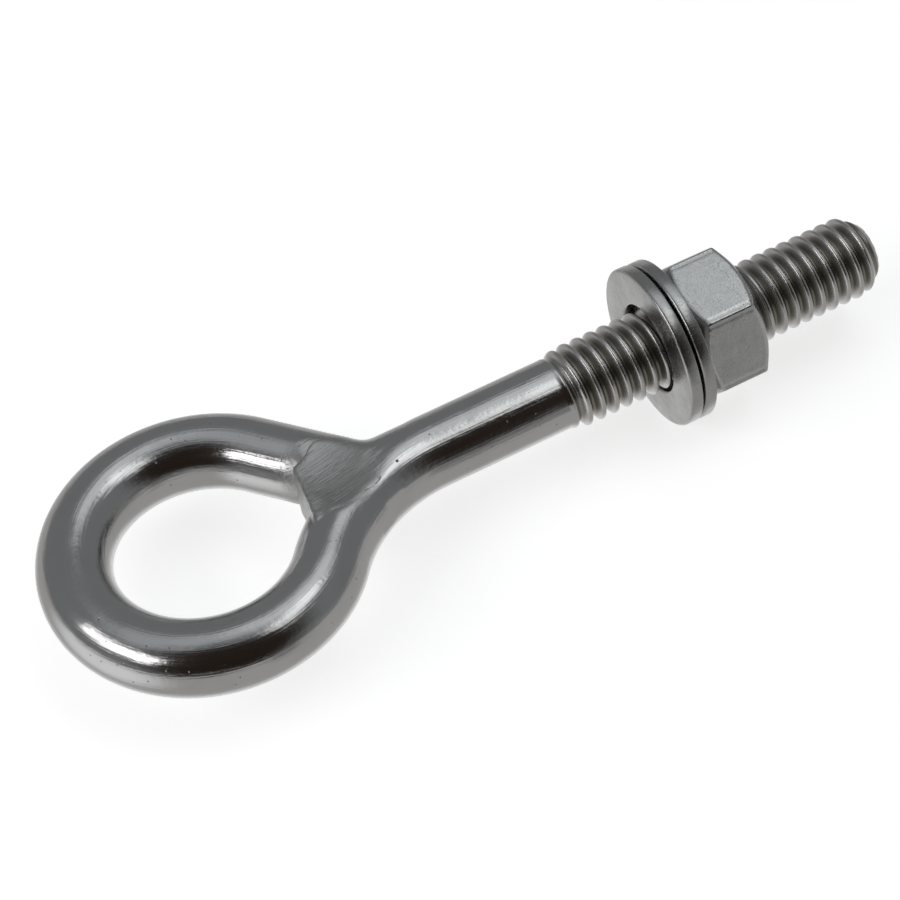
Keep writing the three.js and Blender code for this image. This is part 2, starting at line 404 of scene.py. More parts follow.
# %% Finish of the drawn rod
def polished(board, where, lines, scuffs, rolled, thread):
    """Colour, roughness and height in millimetres of drawn and polished bar, with painted shade in
    the thread's roots and a painted highlight on its crests.
    """
    lumps = cloud(board, where, 2.6, 1.0, 2.0)
    grains = cloud(board, where, 0.40, 2.0, 8.0)
    specks = pits(board, where, 0.55, 0.085, 0.16)
    coarse = pits(board, where, 1.7, 0.15, 0.16)
    # Painted shade: the thread's roots get a warm dark colour, and this mask also makes them
    # rougher.
    root_shade_and_roughness = rolled * (1 - board.ease(thread, 0.0, 0.8))
    clean = board.blend(lumps, (0.62, 0.615, 0.61, 1.0), (0.55, 0.55, 0.545, 1.0))
    # Painted highlight: the thread's crests get a lighter colour.
    bright = board.blend(rolled * board.ease(thread, 0.5, 1.0), clean, (0.62, 0.61, 0.59, 1.0))
    # The painted shade of the thread's roots goes into the colour here.
    root_shaded = board.blend(root_shade_and_roughness * 0.85, bright, (0.27, 0.24, 0.20, 1.0))
    pitted = board.math("MAXIMUM", specks, coarse) * (1 - rolled)
    colour = board.blend(pitted * 0.8, root_shaded, (0.10, 0.085, 0.075, 1.0))
    scuffed = board.ease(scuffs, 0.62, 0.76)
    streaks = 0.13 * lines + 0.06 * lumps
    roughness = 0.065 + streaks + 0.06 * scuffed + 0.11 * rolled + 0.10 * root_shade_and_roughness
    smooth = 1 - rolled
    strokes = (0.024 * lines - 0.003 * scuffed) * (0.15 + 0.85 * smooth)
    drawn = 0.042 * lumps + 0.012 * grains + strokes
    pitting = 0.030 * specks + 0.050 * coarse
    return colour, roughness, drawn - pitting * smooth


def mixed(board, share, first, second):
    """A finish between two finishes."""
    colour = board.blend(share, first[0], second[0])
    roughness = first[1] + share * (second[1] - first[1])
    return colour, roughness, first[2] + share * (second[2] - first[2])


def rod_finish(board):
    where = place(board)
    laid = board.node("ShaderNodeUVMap", {"uv_map": "rod_map"})
    thread = board.node("ShaderNodeAttribute", {"attribute_name": "thread_height"}, out="Fac")
    rolled = board.node("ShaderNodeAttribute", {"attribute_name": "thread_zone"}, out="Fac")
    lines = stretched(board, laid, 9.0, (0.0, 0.0, 0.0), 1.0, 0.22)
    scuffs = stretched(board, laid, 6.0, (0.0, 0.0, 0.05), 4.0, 0.12)
    bar = polished(board, where, lines, scuffs, rolled, thread)
    return mixed(board, from_weld(board, where), bar, ground(board, where))


def weld_finish(board):
    where = place(board)
    lines = stretched(board, where, 9.0, (0.0, 0.0, math.radians(-30)), 1.0, 0.22)
    scuffs = stretched(board, where, 6.0, (0.0, 0.0, math.radians(-10)), 4.0, 0.12)
    bar = polished(board, where, lines, scuffs, 0.0, 0.0)
    return mixed(board, from_weld(board, where), bar, ground(board, where))


# %% Finish of the punched washers
def punched(board):
    where = place(board)
    turned = stretched(board, where, 5.0, (0.3, 0.2, 0.0), 1.0, 0.09)
    across = stretched(board, where, 1.6, (0.0, 0.15, 0.2), 7.0, 0.07)
    patches = cloud(board, where, 1.7, 3.0, 2.0)
    along_rim = board.ease(turned, 0.56, 0.70)
    scratched = board.math("MAXIMUM", along_rim, board.ease(across, 0.60, 0.72))
    colour = board.blend(patches, (0.56, 0.56, 0.555, 1.0), (0.38, 0.38, 0.37, 1.0))
    roughness = 0.20 + 0.12 * patches + 0.08 * scratched
    return colour, roughness, 0.050 * patches - 0.003 * scratched


# %% Finish of the nut
def cold_formed(board):
    where = place(board)
    grain = stretched(board, where, 4.0, (0.5, 0.0, 0.6), 1.0, 0.08)
    scratches = stretched(board, where, 6.0, (0.0, 0.9, 0.25), 3.0, 0.09)
    patches = cloud(board, where, 1.5, 4.0, 5.0)
    spots = pits(board, where, 0.95, 0.11, 0.18)
    bore = board.node("ShaderNodeAttribute", {"attribute_name": "bore"}, out="Fac")
    scratched = board.ease(scratches, 0.58, 0.70)
    colour = board.blend(patches, (0.67, 0.67, 0.66, 1.0), (0.52, 0.52, 0.51, 1.0))
    marked = board.blend(spots * 0.6, colour, (0.20, 0.18, 0.16, 1.0))
    # Painted shade: the bore is darkened with a warm dark colour.
    inside = board.blend(bore * 0.6, marked, (0.26, 0.23, 0.20, 1.0))
    roughness = 0.14 + 0.10 * patches + 0.10 * scratched
    return inside, roughness, 0.014 * grain + 0.050 * patches - 0.020 * scratched - 0.030 * spots


ROD_STEEL = steel("rod_steel_polished", rod_finish)
WELD_STEEL = steel("weld_steel_ground", weld_finish)
WASHER_STEEL = steel("washer_steel_punched", punched)
NUT_STEEL = steel("nut_steel_formed", cold_formed)
print("finishes:", [m.name for m in (ROD_STEEL, WELD_STEEL, WASHER_STEEL, NUT_STEEL)])


# %% [markdown]
# ## The rod's centre line
# The smith bends the rod cold round a pin: a straight tail, the eye, a wider bend back the other
# way for the neck, and the straight shank. The centre line is that story as a chain of points,
# close together so that the bends are smooth in a mirror finish.

# %% Centre line
TAIL_LENGTH = 7.2
STEP = 0.05
NECK_X = math.sqrt((EYE_BEND + NECK_BEND) ** 2 - (NECK_BEND - AXIS_Y) ** 2)
NECK_Y = AXIS_Y - NECK_BEND
neck_angle = math.atan2(-NECK_Y, NECK_X)
eye_sweep = math.tau - EYE_END_ANGLE - neck_angle
neck_sweep = math.pi / 2 - neck_angle
shank_length = TIP_X - NECK_X


def along_bend(centre, radius, start, sweep):
    """Points on an arc, from just after its start to its end; a negative sweep is clockwise."""
    count = max(2, round(abs(sweep) * radius / STEP))
    x, y = centre
    turns = [start + sweep * k / count for k in range(1, count + 1)]
    return [(x + radius * math.cos(a), y + radius * math.sin(a), 0.0) for a in turns]


def straight(start, end):
    """Points on a straight run, from just after its start to its end."""
    count = max(2, round((end - start).length / STEP))
    return [tuple(start.lerp(end, k / count)) for k in range(1, count + 1)]


eye_start = Vector((math.cos(EYE_END_ANGLE), math.sin(EYE_END_ANGLE), 0)) * EYE_BEND
tail_way = Vector((math.sin(EYE_END_ANGLE), -math.cos(EYE_END_ANGLE), 0))
tail_end = eye_start + tail_way * TAIL_LENGTH
line = [tuple(tail_end)]
line += straight(tail_end, eye_start)
line += along_bend((0, 0), EYE_BEND, EYE_END_ANGLE, eye_sweep)
line += along_bend((NECK_X, NECK_Y), NECK_BEND, math.pi - neck_angle, -neck_sweep)
line += straight(Vector((NECK_X, AXIS_Y, 0)), Vector((TIP_X, AXIS_Y, 0)))
ROD_LENGTH = TAIL_LENGTH + EYE_BEND * eye_sweep + NECK_BEND * neck_sweep + shank_length
THREAD_START = ROD_LENGTH - THREAD_LENGTH
line_mesh = bpy.data.meshes.new("centre_line")
line_edges = [(k, k + 1) for k in range(len(line) - 1)]
line_mesh.from_pydata([Vector(p) * MM for p in line], line_edges, [])
rod_line = bpy.data.objects.new("centre_line", line_mesh)
bpy.context.scene.collection.objects.link(rod_line)
print(f"rod {ROD_LENGTH:.1f} mm long, {len(line)} points, thread from {THREAD_START:.1f} mm")

# %% [markdown]
# ## The rod and its rolled thread
# A thread could be modelled with the Screw modifier, but it would then be a separate spring stuck
# on a bar. Here the whole rod is one grid that a geometry tree wraps round the centre line. The
# trick is the shear: each row of the grid climbs by one pitch in one turn, so that rows run along
# the thread's crests and roots, and the last column meets the first one a pitch further on.
# Before the thread the same rows simply make a round bar.

# %% Rows of the rod's grid
COLUMNS = 96
ROWS_PER_TURN = 16
END_ROWS = 10
PLAIN_SPACING = 0.21
PLAIN_ROWS = round(THREAD_START / PLAIN_SPACING)
THREAD_ROWS = round(THREAD_LENGTH / PITCH * ROWS_PER_TURN)
ALL_ROWS = END_ROWS + PLAIN_ROWS + THREAD_ROWS + END_ROWS
print(f"{ALL_ROWS} rows of {COLUMNS} faces")


# %% Open and close a geometry tree
def tree_with_inputs(name, inputs):
    """A geometry tree with a mesh in and out, and one named input for each size."""
    tree = bpy.data.node_groups.new(name, "GeometryNodeTree")
    tree.interface.new_socket("Geometry", in_out="INPUT", socket_type="NodeSocketGeometry")
    for label, value in inputs.items():
        kind = "NodeSocketMaterial" if isinstance(value, bpy.types.Material) else "NodeSocketFloat"
        tree.interface.new_socket(label, in_out="INPUT", socket_type=kind)
    tree.interface.new_socket("Geometry", in_out="OUTPUT", socket_type="NodeSocketGeometry")
    board = Board(tree)
    return board, board.node("NodeGroupInput")


def close_tree(board, mesh, material):
    """Realize, set the material and hand the mesh out."""
    real = board.node("GeometryNodeRealizeInstances", None, {"Geometry": mesh})
    dressed = board.node("GeometryNodeSetMaterial", None, {"Geometry": real, "Material": material})
    tree_output = board.tree.nodes.new("NodeGroupOutput")
    board.tree.links.new(dressed.socket, tree_output.inputs["Geometry"])


def grown(carrier, board, inputs):
    """Run the tree on its carrier with these inputs and return the finished plain mesh."""
    modifier = carrier.modifiers.new("grow", "NODES")
    modifier.node_group = board.tree
    for item in board.tree.interface.items_tree:
        if item.in_out == "INPUT" and item.name in inputs:
            modifier[item.identifier] = inputs[item.name]
    ready = carrier.evaluated_get(bpy.context.evaluated_depsgraph_get())
    mesh = bpy.data.meshes.new_from_object(ready)
    carrier.modifiers.remove(modifier)
    bpy.data.objects.remove(carrier)
    return mesh


# %% Inputs of the rod's tree
rod_inputs = {
    "Rod radius": ROD_RADIUS * MM,
    "Root radius": ROOT_RADIUS * MM,
    "Thread depth": THREAD_DEPTH * MM,
    "Pitch": PITCH * MM,
    "Rod length": ROD_LENGTH * MM,
    "Thread start": THREAD_START * MM,
    "Run-out": THREAD_RUN_OUT * MM,
    "Material": ROD_STEEL,
}
rod, sizes = tree_with_inputs("wrap_rod", rod_inputs)
pitch = sizes.other("Pitch")
length = sizes.other("Rod length")
thread_start = sizes.other("Thread start")
rod_radius = sizes.other("Rod radius")
print("inputs:", sorted(rod_inputs))

# %% Sheared sheet and the thread's height on it
CREST_CENTRE = 0.62
CREST_SHARE = 0.08
ROOT_SHARE = 0.43
ROUNDNESS = 0.75
last_row = ALL_ROWS + ROWS_PER_TURN
sheet_sockets = {"Size X": last_row, "Size Y": 1.0}
sheet_sockets.update({"Vertices X": last_row + 1, "Vertices Y": COLUMNS + 1})
sheet = rod.node("GeometryNodeMeshGrid", None, sheet_sockets)
sheet_x, sheet_y, _ = rod.xyz(rod.node("GeometryNodeInputPosition"))
turn = sheet_y + 0.5
row = sheet_x + (last_row / 2 - ROWS_PER_TURN) + ROWS_PER_TURN * turn
plain_share = rod.share(row, END_ROWS, END_ROWS + PLAIN_ROWS)
thread_share = rod.share(row, END_ROWS + PLAIN_ROWS, END_ROWS + PLAIN_ROWS + THREAD_ROWS)
travel = plain_share * thread_start + thread_share * (length - thread_start)
phase = (travel - length) / pitch - turn
from_crest = rod.math("ABSOLUTE", rod.math("FRACT", phase + (1.5 - CREST_CENTRE)) - 0.5)
flank = 1 - rod.share(from_crest, CREST_SHARE, ROOT_SHARE)
round_flank = 1 - rod.ease(from_crest, CREST_SHARE, ROOT_SHARE)
thread_height = (1 - ROUNDNESS) * flank + ROUNDNESS * round_flank
print(f"crest {2 * CREST_SHARE * PITCH:.2f} mm wide, root {(1 - 2 * ROOT_SHARE) * PITCH:.2f} mm")

# %% Radius along the rod
RUN_OUT_START = 0.3
TIP_EDGE = 0.1
TIP_ROUNDING = 0.6
zone = rod.ease(travel, thread_start + RUN_OUT_START * MM, thread_start + sizes.other("Run-out"))
threaded = sizes.other("Root radius") + sizes.other("Thread depth") * thread_height
plain_or_thread = rod_radius + zone * (threaded - rod_radius)
slope = (CREST_RADIUS + TIP_EDGE - TIP_FACE_RADIUS) / TIP_CHAMFER
chamfer = (length - travel) * slope + TIP_FACE_RADIUS * MM
body_radius = rod.math("SMOOTH_MIN", plain_or_thread, chamfer, TIP_ROUNDING * MM)
tail_cap = rod.share(row, 0, END_ROWS)
tip_cap = 1 - rod.share(row, ALL_ROWS - END_ROWS, ALL_ROWS)
radius = body_radius * tail_cap * tip_cap
print(f"the tip's chamfer rises {slope:.2f} mm for each millimetre along it")

# %% Wrap the sheet round the centre line
curve = rod.node("GeometryNodeMeshToCurve", None, {"Mesh": sizes})
spot_sockets = {"Curves": curve, "Length": travel}
spot = rod.node("GeometryNodeSampleCurve", {"mode": "LENGTH"}, spot_sockets, "Position")
way_x, way_y, _ = rod.xyz(spot.other("Tangent"))
spot_x, spot_y, _ = rod.xyz(spot)
angle = turn * math.tau
sideways = rod.math("COSINE", angle) * radius
upward = rod.math("SINE", angle) * radius
wrapped = rod.vector(spot_x - way_y * sideways, spot_y + way_x * sideways, upward)
unrolled = rod.vector(travel, turn * (math.tau * ROD_RADIUS * MM), 0.0)
print(f"rod tree: {len(rod.tree.nodes)} nodes")

# %% Grow the rod
MERGE_DISTANCE = 0.002


def noted(board, mesh, name, kind, domain, value):
    """The mesh with this value kept on it under a name, for the materials."""
    settings = {"data_type": kind, "domain": domain}
    sockets = {"Geometry": mesh, "Name": name, "Value": value}
    return board.node("GeometryNodeStoreNamedAttribute", settings, sockets)


mapped = noted(rod, sheet, "rod_map", "FLOAT2", "CORNER", unrolled)
mapped = noted(rod, mapped, "thread_height", "FLOAT", "POINT", thread_height)
mapped = noted(rod, mapped, "thread_zone", "FLOAT", "POINT", zone)
bent = rod.node("GeometryNodeSetPosition", None, {"Geometry": mapped, "Position": wrapped})
merge_sockets = {"Geometry": bent, "Distance": MERGE_DISTANCE * MM}
joined = rod.node("GeometryNodeMergeByDistance", None, merge_sockets)
outward = rod.node("GeometryNodeFlipFaces", None, {"Mesh": joined})
smooth = rod.node("GeometryNodeSetShadeSmooth", None, {"Geometry": outward, "Shade Smooth": True})
close_tree(rod, smooth, sizes.other("Material"))
rod_mesh = grown(rod_line, rod, rod_inputs)
rod_mesh.name = "bent_rod"
print(f"rod mesh: {len(rod_mesh.polygons)} faces")


# %% [markdown]
# ## Grinding and tool marks
# After welding, the maker grinds both sides of the joint with a disc. The disc leaves a shallow
# dish, and where it stops there is a crisp line toward the eye and a softer one toward the shank.
# The bending jaws leave small flat facets inside the neck. Both are real shape, so the points
# themselves are pressed in.

# %% Dish of the grinding disc
DISH_X = 13.0
DISH_Y = -0.6
DISH_FLOOR = 2.95
DISC_REACH = 9.7
DISH_RISE = 0.032
UNDERCUT = 0.07
DISH_EDGE = 0.12
DISH_SOFTENING = 0.9
DISH_SOFTENED_BY = 3.0


def dish(x, y):
    """Half thickness that the grinding disc leaves, in millimetres."""
    return DISH_FLOOR + DISH_RISE * ((x - DISH_X) * (x - DISH_X) + (y - DISH_Y) * (y - DISH_Y))


def points_of(mesh):
    """The mesh's points as rows of x, y, z in millimetres."""
    flat = np.empty(len(mesh.vertices) * 3, np.float32)
    mesh.vertices.foreach_get("co", flat)
    return flat.reshape(-1, 3).astype(float) / MM


def put_points(mesh, points):
    """Give the mesh's points these places, in millimetres."""
    mesh.vertices.foreach_set("co", (points * MM).astype(np.float32).ravel())
    mesh.update()


# The overlap makes the same smooth minimum as the Math node's, so rod and weld get one edge.
rod_points = points_of(rod_mesh)
ground_flat = dish(rod_points[:, 0], rod_points[:, 1]) - UNDERCUT
toward_shank = np.clip((rod_points[:, 0] - DISH_X) / DISH_SOFTENED_BY, 0, 1)
rounded = DISH_EDGE + DISH_SOFTENING * toward_shank
height = abs(rod_points[:, 2])
overlap = np.maximum(rounded - abs(height - ground_flat), 0) / rounded
height = np.minimum(height, ground_flat) - overlap**3 * rounded / 6
ground_points = int((abs(rod_points[:, 2]) - height > 0.001).sum())
rod_points[:, 2] = np.copysign(height, rod_points[:, 2])
print(f"ground flat: {ground_points} points of the rod")


# %% Marks of the bending jaws
FACET_SLANT = 0.35
FACET_END_FADE = 0.8
FACET_REACH = 2.8
FACET_SIDE_FADE = 1.4


def eased(share):
    """A straight 0 to 1 ramp with both its ends rounded."""
    return share * share * (3 - 2 * share)


def jaw_mark(points, bend_angle, round_angle, depth, half_length, tilt):
    """Press a flat facet into the hollow side of the neck, and let it fade at its ends.

    bend_angle places it along the neck, round_angle up from the bolt's own plane, and tilt turns
    its face down from there. Angles are in degrees, depth and half_length in millimetres.
    """
    bend = math.radians(bend_angle)
    lean = math.radians(round_angle)
    turned = math.radians(round_angle - tilt)
    inward = Vector((-math.cos(bend), -math.sin(bend), 0.0))
    upward = Vector((0.0, 0.0, 1.0))
    centre = Vector((NECK_X, NECK_Y, 0.0)) - inward * NECK_BEND
    spot = centre + (inward * math.cos(lean) + upward * math.sin(lean)) * (ROD_RADIUS - depth)
    facet = np.array(inward * math.cos(turned) + upward * math.sin(turned))
    along = np.array((math.sin(bend), -math.cos(bend), 0.0))
    offset = points - np.array(spot)
    above = np.maximum(offset @ facet, 0)
    slant = offset @ along + FACET_SLANT * offset[:, 2]
    ends = np.clip((half_length - abs(slant)) / FACET_END_FADE, 0, 1)
    sides = np.clip((FACET_REACH - np.linalg.norm(offset, axis=1)) / FACET_SIDE_FADE, 0, 1)
    return points - np.outer(above * eased(ends) * eased(sides), facet)


unmarked = rod_points
rod_points = jaw_mark(rod_points, 113.6, 22, 0.09, 1.45, 4)
rod_points = jaw_mark(rod_points, 123.0, 10, 0.07, 1.30, 3)
pressed = np.linalg.norm(rod_points - unmarked, axis=1)
put_points(rod_mesh, rod_points)
print(f"jaw marks: {int((pressed > 0.001).sum())} points, {pressed.max():.2f} mm deep")

# %% [markdown]
# ## The weld
# The weld fills the corner between the end of the rod and the neck. It has no straight edge to
# draw, so it is described as a field instead: how far each point in space is from the metal. A
# volume node samples that field on a fine grid and Volume to Mesh pulls the skin out of it. The
# same dish cuts it flat on both sides.

# %% Field of the weld
weld_inputs = {"Rounding": 0.5, "Bead height": 0.10, "Material": WELD_STEEL}
weld, weld_sizes = tree_with_inputs("fill_weld", weld_inputs)
weld_x, weld_y, weld_z = weld.xyz(weld.node("GeometryNodeInputPosition"))
wx = weld_x / MM
wy = weld_y / MM
wz = weld.math("ABSOLUTE", weld_z / MM)
rounding = weld_sizes.other("Rounding")


def side(x, y, facing_x, facing_y):
    """Distance outside a straight side of the weld, seen from above."""
    size = math.hypot(facing_x, facing_y)
    return (wx - x) * (facing_x / size) + (wy - y) * (facing_y / size)


def within(first, second):
    return weld.math("SMOOTH_MAX", first, second, rounding)


# %% Filler block
# Each side is a point on it and the way it faces. Two sides show, and the others end in the rod.
TAIL_SIDE = (13.24, 2.65, -0.203, 0.979)
EYE_SIDE = (9.95, -0.8, -0.993, 0.12)
BURIED_SIDES = [(9.6, -4.6, 0.169, -0.985), (15.7, 0.9, 0.666, 0.746), (16.4, -0.67, 1.0, 0.0)]
FILLER_HALF_HEIGHT = 3.25
block = within(side(*TAIL_SIDE), side(*EYE_SIDE))
block = within(block, wz - FILLER_HALF_HEIGHT)
for buried in BURIED_SIDES:
    block = within(block, side(*buried))
print(f"filler {2 * FILLER_HALF_HEIGHT:.1f} mm high before grinding")

# %% End of the tail, neck and shank
# The skin lies this deep in the rod where the two are one metal, and comes up at the cut end.
SKIN_DEPTH = 0.05
SKIN_PROUD = 0.015
TAIL_RUN = (1.4, 2.7)
TAIL_BACK = (16.62, 4.95, 0.891, 0.455)
SHANK_RUN = (18.5, 3.9)
lead = (wx - tail_end.x) * tail_way.x + (wy - tail_end.y) * tail_way.y
apart = (wx - tail_end.x) * tail_way.y - (wy - tail_end.y) * tail_way.x
surfacing = weld.ease(lead, -0.7, -0.1) * (SKIN_DEPTH + SKIN_PROUD)
round_tail = weld.span(apart, wz) - (ROD_RADIUS - SKIN_DEPTH) - surfacing
round_tail = within(round_tail, weld.math("ABSOLUTE", lead - TAIL_RUN[0]) - TAIL_RUN[1])
round_tail = within(round_tail, side(*TAIL_BACK))
neck_out = weld.span(wx - NECK_X, wy - NECK_Y) - NECK_BEND
neck = weld.span(neck_out, wz) - (ROD_RADIUS - SKIN_DEPTH)
shank = weld.span(wy - AXIS_Y, wz) - (ROD_RADIUS - SKIN_DEPTH)
shank = within(shank, weld.math("ABSOLUTE", wx - SHANK_RUN[0]) - SHANK_RUN[1])
print(f"weld tree: {len(weld.tree.nodes)} nodes so far")

# %% Bead, blended into the rod
# The bead is calm on the ground sides and lively toward the eye, where no disc has reached.
TAIL_BLEND = 0.9
ROD_BLEND = 0.8
CALM_BEAD = 0.4
LIVELY_BEAD = 2.6
bead = weld.node("ShaderNodeTexNoise", {"noise_dimensions": "3D"}, {"Scale": 900.0, "Detail": 2.0})
filled = weld.math("SMOOTH_MIN", block, round_tail, TAIL_BLEND)
inside_eye = (1 - weld.ease(wx, 10.0, 11.0)) * (1 - weld.ease(wy, 0.2, 1.6))
beaded = weld_sizes.other("Bead height") * (CALM_BEAD + LIVELY_BEAD * inside_eye)
filled = filled + (bead - 0.5) * beaded
host = weld.math("MINIMUM", shank, neck)
blended = weld.math("SMOOTH_MIN", filled, host, ROD_BLEND)
print(f"blended over {ROD_BLEND} mm")

# %% Cut by the grinding disc
NECK_INSIDE = 1.5
softening = DISH_SOFTENING * weld.ease(wx, DISH_X, DISH_X + DISH_SOFTENED_BY)
metal = weld.math("SMOOTH_MAX", blended, wz - dish(wx, wy), DISH_EDGE + softening)
metal = weld.math("MAXIMUM", metal, weld.span(wx - DISH_X, wy - DISH_Y) - DISC_REACH)
metal = weld.math("MAXIMUM", metal, 0 - neck_out - NECK_INSIDE)
print(f"the disc reaches {DISC_REACH} mm from the middle of its dish")

# %% Skin of the weld
VOXEL = 0.11
weld_low = Vector((7.0, -8.0, -4.0))
weld_high = Vector((22.8, 6.4, 4.0))
weld_steps = [round((high - low) / VOXEL) for low, high in zip(weld_low, weld_high)]
cube_sockets = {"Density": 0 - metal, "Background": -1.0}
cube_sockets.update({"Min": weld_low * MM, "Max": weld_high * MM})
cube_sockets.update(zip(("Resolution X", "Resolution Y", "Resolution Z"), weld_steps))
field = weld.node("GeometryNodeVolumeCube", None, cube_sockets)
skin = weld.node("GeometryNodeVolumeToMesh", None, {"Volume": field, "Threshold": 0.0})
shade_sockets = {"Geometry": skin, "Shade Smooth": True}
weld_smooth = weld.node("GeometryNodeSetShadeSmooth", None, shade_sockets)
close_tree(weld, weld_smooth, weld_sizes.other("Material"))
weld_carrier = bpy.data.objects.new("weld_seed", bpy.data.meshes.new("weld_seed"))
bpy.context.scene.collection.objects.link(weld_carrier)
weld_mesh = grown(weld_carrier, weld, weld_inputs)
print(f"weld mesh: {len(weld_mesh.polygons)} faces")

# %% [markdown]
# ## Turned and punched pieces
# A washer and a nut are both closed rings round the bolt's axis. Each is made from one outline per
# column, so that edges follow the outline exactly, and the columns are joined into a closed skin.


# %% Ring builder
def ring(name, outlines, angles, centre, material, closed=True):
    """A closed skin from outlines[column] = [(x, radius), ...], round an axis along X."""
    columns = len(outlines)
    rows = len(outlines[0])
    centre_y, centre_z = centre
    points = []
    for outline, angle in zip(outlines, angles):
        across = math.cos(angle)
        rise = math.sin(angle)
        points += [(x, centre_y + r * across, centre_z + r * rise) for x, r in outline]
    faces = []
    for c in range(columns):
        here = c * rows
        there = ((c + 1) % columns) * rows
        for k in range(rows if closed else rows - 1):
            after = (k + 1) % rows
            faces.append((here + k, here + after, there + after, there + k))
    mesh = bpy.data.meshes.new(name)
    mesh.from_pydata([Vector(p) * MM for p in points], [], faces)
    mesh.materials.append(material)
    return mesh


def arc(centre_x, centre_r, radius, start, end, steps):
    """Points on a quarter round of an outline, angles in degrees."""
    turns = [math.radians(start + (end - start) * k / steps) for k in range(steps + 1)]
    return [(centre_x + radius * math.cos(a), centre_r + radius * math.sin(a)) for a in turns]


# %% Washers
WASHER_OUTER = 8.0
WASHER_HOLE = 8.8975 / 2
WASHER_EDGE = 0.30
WASHER_BURR = 0.10
WASHER_HOLE_EDGE = 0.22
WASHER_COLUMNS = 160
WASHER_RIM_FROM = 6
WASHER_OVAL = 0.03
WASHER_RIPPLE = 0.015


def washer_outline(low_x, high_x):
    """Rounded where the punch drew the sheet in, toward the eye, and sharper on the far side."""
    soft = WASHER_EDGE
    crisp = WASHER_BURR
    worn = WASHER_HOLE_EDGE
    outline = arc(low_x + soft, WASHER_OUTER - soft, soft, 180, 90, 6)
    outline += arc(high_x - crisp, WASHER_OUTER - crisp, crisp, 90, 0, 3)
    outline += arc(high_x - crisp, WASHER_HOLE + crisp, crisp, 0, -90, 3)
    outline += arc(low_x + worn, WASHER_HOLE + worn, worn, -90, -180, 5)
    return outline


def washer(node):
    """A washer in the place of this node, with a rim that isn't quite round."""
    low, high = (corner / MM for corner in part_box(node))
    centre = ((low.y + high.y) / 2, (low.z + high.z) / 2)
    angles = [math.tau * k / WASHER_COLUMNS for k in range(WASHER_COLUMNS)]
    outlines = []
    for angle in angles:
        drift = WASHER_OVAL * math.sin(2 * angle + low.x)
        drift += WASHER_RIPPLE * math.sin(5 * angle + 2 * low.x)
        outline = washer_outline(low.x, high.x)
        outlines.append([(x, r + drift * (r > WASHER_RIM_FROM)) for x, r in outline])
    return ring(node + "_punched", outlines, angles, centre, WASHER_STEEL)


inner_mesh = washer("inner_washer")
outer_mesh = washer("outer_washer")
print(f"washers: {len(inner_mesh.polygons)} faces each")

# %% [markdown]
# ## The nut
# A nut is a hexagon whose corners are turned away by a cone at both ends, and that cut is what
# draws the curved arcs on its flats. For each column the outline finds where the cone meets the
# flat, so the arc is an exact line of the mesh. The bore carries the same thread as the rod, with
# a little clearance, as a skin that climbs one pitch in one turn.

# %% Nut sizes
NUT_FLAT = 12.7 / 2
NUT_CORNER_ANGLE = math.radians(10.4)
NUT_CORNER_ROUND = 0.32
NUT_FACE = 0.93 * NUT_FLAT
NUT_CHAMFER = math.tan(math.radians(35))
NUT_LEAST_DROP = 0.02
NUT_FACE_EDGE = 0.10
NUT_FACE_INNER = 1.2
NUT_CLEARANCE = 0.15
MOUTH_RADIUS = CREST_RADIUS + 0.35
MOUTH_SLOPE = 1.2
NUT_LOW = nut_low.x
NUT_HIGH = nut_high.x
print(f"nut {2 * NUT_FLAT:.1f} mm across flats, {NUT_HIGH - NUT_LOW:.1f} mm high")


def hexagon(angle):
    """Distance from the axis to the nut's side in this direction, with rounded corners."""
    sixth = math.radians(60)
    off = (angle - NUT_CORNER_ANGLE + sixth / 2) % sixth - sixth / 2
    corner = (NUT_FLAT - NUT_CORNER_ROUND) / math.cos(sixth / 2)
    flat = NUT_FLAT / math.cos(sixth / 2 - abs(off))
    inside = NUT_CORNER_ROUND**2 - (corner * math.sin(off)) ** 2
    if inside <= 0:
        return flat
    rounded = corner * math.cos(off) + math.sqrt(inside)
    return min(flat, rounded)


def nut_outside(angle):
    """Outline of the nut's outside in one direction, from mouth to mouth."""
    reach = hexagon(angle)
    drop = max(NUT_LEAST_DROP, (reach - NUT_FACE) * NUT_CHAMFER)
    halfway = NUT_FACE + 0.5 * (reach - NUT_FACE)
    outline = [(NUT_LOW, MOUTH_RADIUS), (NUT_LOW, NUT_FACE - NUT_FACE_INNER)]
    outline += [(NUT_LOW, NUT_FACE - NUT_FACE_EDGE), (NUT_LOW + 0.012, NUT_FACE)]
    outline += [(NUT_LOW + 0.5 * drop, halfway)]
    outline += [(NUT_LOW + drop - 0.05, reach - 0.075), (NUT_LOW + drop + 0.07, reach)]
    outline += [(NUT_LOW + drop + 0.35, reach)]
    back = [(NUT_LOW + NUT_HIGH - x, r) for x, r in reversed(outline)]
    return outline + back


# %% Columns that crowd round the nut's corners
def crowded(share):
    """Moves an even share of a sixth toward its two ends."""
    return share - 0.93 * math.sin(math.tau * share) / math.tau


NUT_COLUMNS_PER_SIDE = 24
nut_angles = []
for side_number in range(6):
    for k in range(NUT_COLUMNS_PER_SIDE):
        step = side_number + crowded(k / NUT_COLUMNS_PER_SIDE)
        nut_angles.append(NUT_CORNER_ANGLE + math.radians(60) * step)
nut_outlines = [nut_outside(angle) for angle in nut_angles]
outside_mesh = ring("nut", nut_outlines, nut_angles, (AXIS_Y, 0.0), NUT_STEEL, False)
print(f"nut outside: {len(outside_mesh.polygons)} faces")


